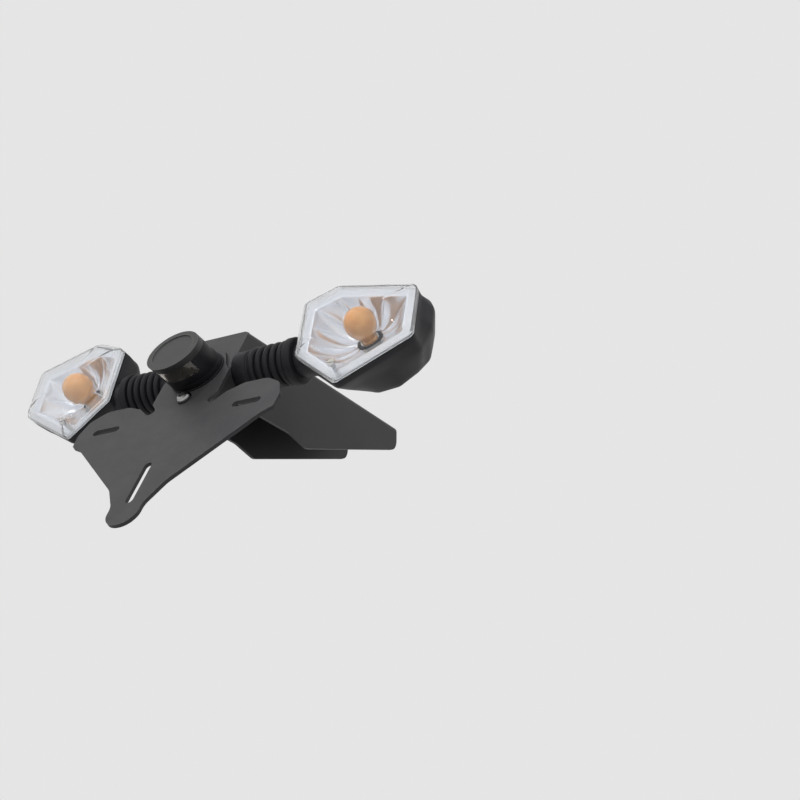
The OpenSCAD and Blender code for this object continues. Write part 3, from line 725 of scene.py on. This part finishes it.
def stage_floor(z, size):
    """Plain pale floor, which sends less light to the part than the camera sees."""
    bounced, shown, glow = (0.14, 0.14, 0.14), (0.32, 0.32, 0.32), 0.55
    data = bpy.data.meshes.new("floor")
    corners = [(-size, -size, z), (size, -size, z), (size, size, z), (-size, size, z)]
    data.from_pydata(corners, [], [(0, 1, 2, 3)])
    floor = bpy.data.objects.new("floor", data)
    bpy.context.scene.collection.objects.link(floor)
    mat, tree, shader = material("pale_floor", shown, 0.9, Specular_IOR_Level=0.0,
                                 Emission_Color=(1, 1, 1, 1))
    seen = seen_directly(tree)
    tree.links.new(mix_color(tree, seen, bounced, shown), shader.inputs["Base Color"])
    tree.links.new(math_node(tree, "MULTIPLY", seen, glow), shader.inputs["Emission Strength"])
    data.materials.append(mat)


def set_world():
    """Even soft light, in front of a backdrop that the camera sees as pale as the photo's."""
    even, backdrop = (0.30, 0.305, 0.315), (linear(229),) * 3
    world = bpy.data.worlds.new("studio")
    bpy.context.scene.world = world
    world.use_nodes = True
    tree = world.node_tree
    background = tree.nodes["Background"]
    tree.links.new(mix_color(tree, seen_directly(tree), even, backdrop), background.inputs["Color"])
    background.inputs["Strength"].default_value = 1.0


def area(name, where, size, power, aim=(0, -0.15, -0.05), mirrored=False):
    """A round lamp, seen in metal and through glass only when mirrored."""
    data = bpy.data.lights.new(name, "AREA")
    data.shape, data.size, data.energy = "DISK", size, power
    lamp = bpy.data.objects.new(name, data)
    lamp.location = where
    lamp.rotation_euler = (Vector(aim) - Vector(where)).to_track_quat("-Z", "Y").to_euler()
    lamp.visible_glossy = lamp.visible_transmission = mirrored
    bpy.context.scene.collection.objects.link(lamp)


def photo_camera():
    """The camera fitted to the photo: angles in degrees, lengths in mm, and the focal length in pixels."""
    az, el, roll = (math.radians(v) for v in (28.7, -21.5, 0.2))
    tx, ty, dist, focal, pixels, up_shift, sensor = -167.4, -2.0, 1113.1, 1500.0, 800, 14, 36
    back = Vector((math.sin(az) * math.cos(el), -math.cos(az) * math.cos(el), math.sin(el)))
    level = Vector((math.cos(az), math.sin(az), 0))
    upright = back.cross(level)
    right = level * math.cos(roll) + upright * math.sin(roll)
    up = upright * math.cos(roll) - level * math.sin(roll)
    data = bpy.data.cameras.new("camera")
    data.sensor_width = sensor
    data.lens = focal / pixels * sensor
    data.shift_y = up_shift / pixels
    data.clip_start, data.clip_end = 0.05, 50
    cam = bpy.data.objects.new("camera", data)
    place = Matrix((right, up, back)).transposed().to_4x4()
    place.translation = (right * -tx + up * -ty + back * dist + Vector((0, slot_y, slot_z))) * MM
    cam.matrix_world = place
    bpy.context.scene.collection.objects.link(cam)
    bpy.context.scene.camera = cam


stage_floor(-1.15, 12.0)
set_world()
area("key", (-0.9, -1.5, 1.5), 1.3, 22)
area("front", (0.6, -3.1, 0.05), 1.5, 30)
area("fill", (1.6, -0.9, 0.5), 1.2, 4.5)
area("back", (-0.5, 2.7, 0.35), 1.5, 38, aim=(0, 0, -0.05))
area("spark", (0.3, -1.6, 1.1), 0.2, 3.5, mirrored=True)
photo_camera()
bpy.context.scene.view_settings.view_transform = "Standard"
